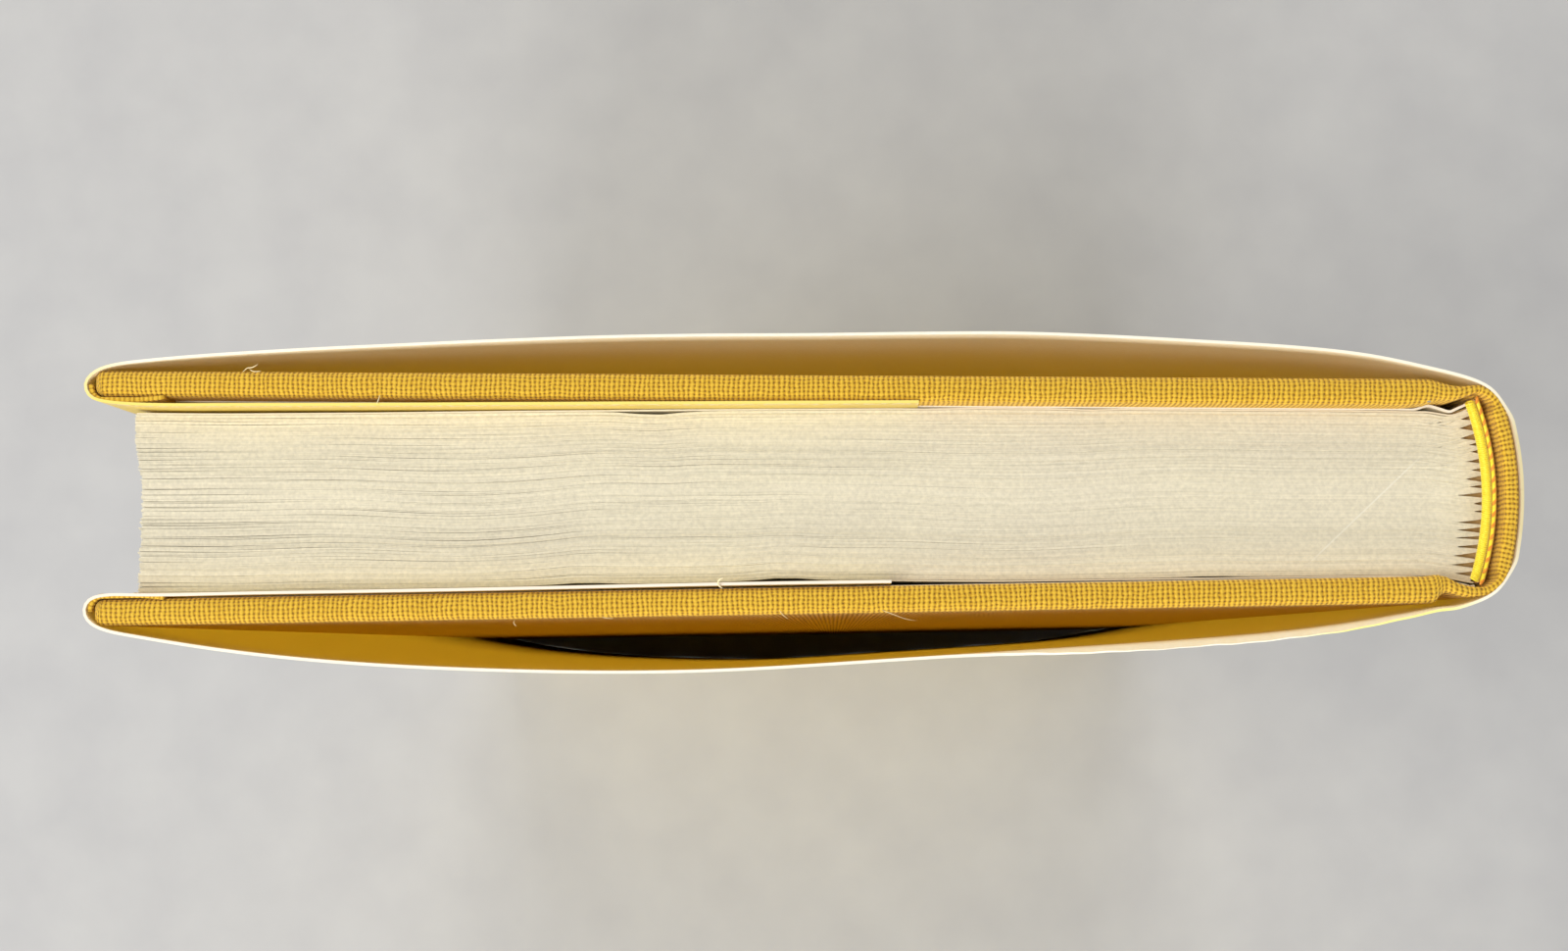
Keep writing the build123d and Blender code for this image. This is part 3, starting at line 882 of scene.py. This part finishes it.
# Corner tucks: where the cloth is turned in at a corner, the fold of the fore-edge lies over the
# fold of the head or tail as a short doubled strip, with a slit showing between the two.
tuck_long, tuck_thick, tuck_slit, tuck_deep, tuck_drop = 7.4, 0.5, 0.08, 3.2, 0.22
for cover, side in covers:
    inner_y, edge_x = cloth_out - board_and_cloth, fore_reach[side] + edge_round
    reach = edge_round + tuck_slit + tuck_thick / 2
    swing = np.linspace(0.93 * math.pi, 1.5 * math.pi, 14)
    round_part = (edge_x, inner_y + edge_round) + reach * np.column_stack((np.cos(swing), np.sin(swing)))
    flat_x = np.linspace(edge_x + 0.4, fore_reach[side] + tuck_long, 22)
    flat_y = inner_y - tuck_slit - tuck_thick / 2 + 0.3 * np.clip((flat_x - edge_x - 3) / 3.5, 0, 1) ** 2
    tuck_line = np.concatenate((round_part, np.column_stack((flat_x, flat_y))))
    for end, low in (("head", case_height - tuck_drop - tuck_deep), ("tail", tuck_drop)):
        grid = lifted(stood_up(tuck_line, np.linspace(low, low + tuck_deep, 9)))
        grid[..., 1] *= side
        tuck = new_sheet(f"{cover}_{end}_corner_tuck", grid[::side], tuck_thick, [cloth_finish])
        ease_edge = tuck.modifiers.new("ease", "BEVEL")
        ease_edge.width, ease_edge.segments, ease_edge.limit_method = 0.00014, 3, "ANGLE"
        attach(tuck, f"{cover}_cover")

# Jacket: one long sheet of smooth paper, soft yellow outside and white inside, folded round the
# fore-edges into two flaps. It is loose, so its panels bow away from the boards. It is made here
# as a front and a back half that meet along the middle of the spine.
jacket_paper, jacket_radius, half_length = 0.30, 31.56, 240.0
spine_line = back_arc(jacket_radius, np.linspace(0, math.radians(13), 8))
jacket_bends = {
    "front": (
        (1.08, 7.9), (0.43, 8.98), (-0.45, 10.1), (-1.77, 10.92), (-3.25, 11.47), (-6.45, 12.32),
        (-12.33, 13.63), (-18.2, 14.4), (-30, 15.29), (-47.5, 16.22), (-65, 16.26), (-83.7, 16.28),
        (-107.9, 15.68), (-126, 14.92), (-138.4, 14.07), (-141.45, 13.62), (-143.15, 12.87),
        (-143.88, 11.75), (-143.4, 10.53), (-142.05, 9.98), (-139, 9.66), (-130, 9.5), (-115, 9.43),
        (-95, 9.38), (-75, 9.33), (-58, 9.28),
    ),
    "back": (
        (1.08, 7.9), (0.38, 9.0), (-0.55, 10.1), (-1.85, 10.88), (-3.3, 11.4), (-4.7, 11.72), (-6.0, 11.8),
        (-7.1, 11.98), (-12.9, 13.04), (-18.8, 13.9), (-30.5, 14.98), (-48, 16.1), (-65.8, 17.22),
        (-77.7, 17.87), (-89.6, 18.06), (-101.6, 17.82), (-119.6, 16.79), (-131.7, 15.37), (-139, 14.16),
        (-141.8, 13.48), (-143.1, 12.65), (-143.5, 11.6), (-143.1, 10.65), (-141.9, 10.15), (-139, 10.04),
        (-130, 9.97), (-115, 9.77), (-95, 9.47), (-78, 9.17), (-60.9, 8.98),
    ),
}


def let_through(shader, share, colour):
    """Paper that passes a share of the light that falls on its far side, in a warm colour."""
    tree = shader.id_data
    far_light = node(tree, "ShaderNodeBsdfTranslucent", {"Color": colour})
    paper = node(tree, "ShaderNodeMixShader", {0: share, 1: shader.outputs[0], 2: far_light.outputs[0]})
    tree.links.new(paper.outputs[0], tree.nodes["Material Output"].inputs["Surface"])


jacket_outside, tree, shader = new_finish("jacket_yellow_side", 0.42)
let_through(shader, 0.3, tone(255, 226, 92))
uv = place_on(tree, "UV")
fibre = speckle(uv, 1.6, 6.0)
print_colour = tone(250, 228, 122)
ink = mottled(speckle(uv, 0.03, 3.0), print_colour, [c * 0.94 for c in print_colour[:3]] + [1])
from_tail = apart(uv)[1]
from_edge = maths("MINIMUM", from_tail, maths("SUBTRACT", case_height, from_tail))
rub = times(ranged(from_edge, 0.1, 1.6, 1, 0), ranged(fibre, 0.42, 0.6))
tree.links.new(ranged(fibre, 0.3, 0.7, 0.36, 0.5), shader.inputs["Roughness"])
surfaced(shader, blended(rub, ink, tone(253, 246, 222)), fibre, 0.00003, 0.4)


def white_side(name, share):
    """The bare inside of the paper, which lets light through, but less at its foot and its head edge."""
    finish, tree, shader = new_finish(name, 0.8)
    uv = place_on(tree, "UV")
    from_tail = apart(uv)[1]
    share = ranged(from_tail, 40, 110, 0, share)
    share = times(share, ranged(from_tail, 208, 221.5, 1, 0.4))
    let_through(shader, share, tone(255, 240, 150))
    fibre = speckle(uv, 1.8, 6.0)
    bare = mottled(fibre, tone(251, 238, 206), tone(254, 244, 220))
    surfaced(shader, bare, fibre, 0.00003, 0.5)
    return finish


def cut_edge(name, flap_colour, joint_colour, from_flap):
    """The raw edge of the paper, which takes a tint along the flap, near the joint and on the spine."""
    finish, tree, shader = new_finish(name, 0.85)
    fibre = speckle(place_on(tree, "Object"), 1500.0, 4.0)
    colour = mottled(fibre, tone(253, 246, 226), tone(255, 251, 236))
    length = apart(place_on(tree, "UV"))[0]
    if from_flap:
        length = maths("SUBTRACT", half_length, length)
    by_joint = times(ranged(length, 13, 17), ranged(length, 27, 33, 1, 0))
    for share, tint in (
        (ranged(length, 150, 158), flap_colour), (by_joint, joint_colour),
        (ranged(length, 5, 12, 0.8, 0), tone(216, 200, 142)),
    ):
        colour = blended(share, colour, tint)
    surfaced(shader, colour, fibre, 0.00003, 0.6)
    return finish


jacket_insides = {
    "front": white_side("jacket_front_inside", 0.4), "back": white_side("jacket_back_inside", 0.6),
}
jacket_rims = {
    "front": cut_edge("jacket_front_cut_edge", tone(246, 228, 120), tone(254, 248, 230), False),
    "back": cut_edge("jacket_back_cut_edge", tone(250, 238, 222), tone(255, 246, 150), True),
}
foot_levels, head_levels = (0, 0.4, 0.9, 1.8, 3.3), (219, 220.5, 221.4, 221.9, case_height)
jacket_levels = np.concatenate((foot_levels, np.linspace(8, 214, 18), head_levels))
for cover, side in covers:
    jacket_line = smooth_line(np.concatenate((spine_line, jacket_bends[cover])), 420)
    jacket_line[:, 1] *= side
    grid = stood_up(jacket_line, jacket_levels)
    walk = np.arange(len(jacket_line)) * np.linalg.norm(jacket_line[1] - jacket_line[0])
    nibble = 0.05 * np.sin(walk / 3.1) * np.sin(walk / 7.7 + side) - 0.05
    grid[:, -1, 2] += nibble
    grid[:, 0, 2] -= nibble
    if side < 0:
        # The head edge is rubbed and curls outwards along the spine half of the back panel.
        curl = np.exp(-(((jacket_line[:, 0] + 27) / 21) ** 4)) * (walk < 70)
        curl = curl * (0.92 + 0.08 * np.sin(walk / 1.9) * np.sin(walk / 0.83 + 1))
        for row, share in ((-3, 0.08), (-2, 0.3), (-1, 0.72)):
            grid[:, row, 1] -= share * curl
        grid[:, -1, 2] -= 0.2 * curl
    finishes = [jacket_outside, jacket_insides[cover], jacket_rims[cover]]
    half = new_sheet(f"{cover}_jacket", grid[::side], jacket_paper, finishes)
    bend_with(half)
    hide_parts(f"jacket_{cover}", *(["jacket_spine"] if side > 0 else []))

# Lint: a few loose fibres of the cloth and of torn paper that cling to the covers and stand up at
# their edges.
strand_points, strand_sides = 16, 6
lint_finish, tree, shader = new_finish("lint", 0.7)
strand = speckle(place_on(tree, "Object"), 3000.0)
tree.links.new(blended(strand, tone(255, 250, 225), tone(240, 214, 140)), shader.inputs["Base Color"])
# Each strand by the points it passes through, and its radius.
lint_strands = {
    "front": (
        (((-127.7, 12.95, 221.7), (-127, 13.3, 222.1), (-126.4, 13.25, 222.6), (-125.8, 13.6, 222.5)), 0.05),
        (((-113.5, 9.45, 222.35), (-113.25, 9.9, 222.55), (-113.2, 10.35, 222.3)), 0.045),
        (((-126.9, 13.2, 221.9), (-126.3, 12.9, 222.3), (-125.6, 12.95, 222.2)), 0.04),
    ),
    "back": (
        (((-78.0, -9.6, 222.2), (-78.4, -9.2, 222.6), (-78.3, -8.8, 222.9), (-77.8, -8.6, 222.8)), 0.085),
        (((-99.6, -12.7, 219.5), (-99.7, -13.0, 219.8), (-99.45, -13.35, 219.7)), 0.05),
        (((-61.8, -11.9, 222.1), (-60.4, -12.4, 221.3), (-59.3, -12.75, 220.3), (-58.2, -12.9, 219.3)), 0.04),
        (((-72.2, -11.9, 222.2), (-71.9, -12.3, 221.6), (-71.4, -12.7, 220.8)), 0.035),
        (((-90.9, -12.1, 222.0), (-90.2, -12.5, 221.4), (-89.2, -12.6, 220.9)), 0.035),
    ),
}
for cover, strands in lint_strands.items():
    points, faces = [], []
    for bends, radius in strands:
        line = smooth_line(bends, strand_points)
        way = unit(np.gradient(line, axis=0))
        first_side = unit(np.cross(way, (0.3, 0.2, 1.0)))
        other_side = np.cross(way, first_side)
        turn = np.linspace(0, 2 * math.pi, strand_sides + 1)[:-1, None]
        ring = np.cos(turn) * first_side[:, None] + np.sin(turn) * other_side[:, None]
        taper = radius * np.clip(1.6 * np.sin(np.linspace(0.25, math.pi - 0.25, strand_points)), 0, 1)
        first = strand_points * strand_sides * len(points)
        last = first + (strand_points - 1) * strand_sides
        faces.extend(grid_faces(strand_points, strand_sides, first, closed=True).tolist())
        faces.append(list(range(first, first + strand_sides)))
        faces.append(list(range(last, last + strand_sides))[::-1])
        points.append((line[:, None] + taper[:, None, None] * ring).reshape(-1, 3))
    lint = new_piece(f"{cover}_lint", np.concatenate(points), faces)
    lint.data.materials.append(lint_finish)
    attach(lint, f"{cover}_cover")

# Floor, light and camera: a pale table, broad soft lamps over the fore-edge and at both
# sides, and the camera close above the head of the book.
floor_reach, floor_level = 3, -0.00005
floor_corners = [
    (floor_reach * x, floor_reach * y, floor_level) for x, y in ((-1, -1), (1, -1), (1, 1), (-1, 1))
]
floor_mesh = bpy.data.meshes.new("floor")
floor_mesh.from_pydata(floor_corners, [], [(0, 1, 2, 3)])
floor_finish, tree, shader = new_finish("pale_table", 0.7)
speck = speckle(place_on(tree, "Object"), 60.0, 5.0)
tree.links.new(mottled(speck, tone(184, 185, 188), tone(191, 192, 194)), shader.inputs["Base Color"])
floor_mesh.materials.append(floor_finish)
in_scene("floor", floor_mesh)

world = bpy.data.worlds.new("room")
world.use_nodes = True
sky = world.node_tree.nodes["Background"].inputs
sky["Color"].default_value, sky["Strength"].default_value = (1, 0.985, 0.96, 1), 0.30
bpy.context.scene.world = world


def soft_lamp(name, place, aim, size, watts):
    lamp = bpy.data.lights.new(name, "AREA")
    lamp.size, lamp.energy = size, watts
    lamp.color = (1, 0.975, 0.93)
    holder = in_scene(name, lamp)
    holder.location = place
    way = np.array(place) - np.array(aim)
    holder.rotation_euler = (math.atan2(math.hypot(way[0], way[1]), way[2]), 0, math.atan2(way[0], -way[1]))


soft_lamp("over_fore_edge", (-0.65, -0.2, 1.15), (0, 0, 0.2), 0.7, 9.3)
soft_lamp("front_side", (0.0, 1.25, 0.6), (0, 0, 0.12), 0.6, 8.8)
soft_lamp("back_side", (-0.1, -1.25, 0.6), (0, 0, 0.12), 0.6, 11.5)

camera_data = bpy.data.cameras.new("camera")
camera_data.sensor_fit, camera_data.sensor_width = "HORIZONTAL", 36
camera_data.lens, camera_data.shift_y = 37.485, 0.05
camera_data.clip_start = 0.01
camera = in_scene("camera", camera_data)
camera.location = (0.003916, -0.014991, 0.3873)
camera.rotation_euler = [math.radians(angle) for angle in (3.33219, 1.71614, -0.15)]
bpy.context.scene.camera = camera
bpy.context.scene.view_settings.view_transform = "Standard"
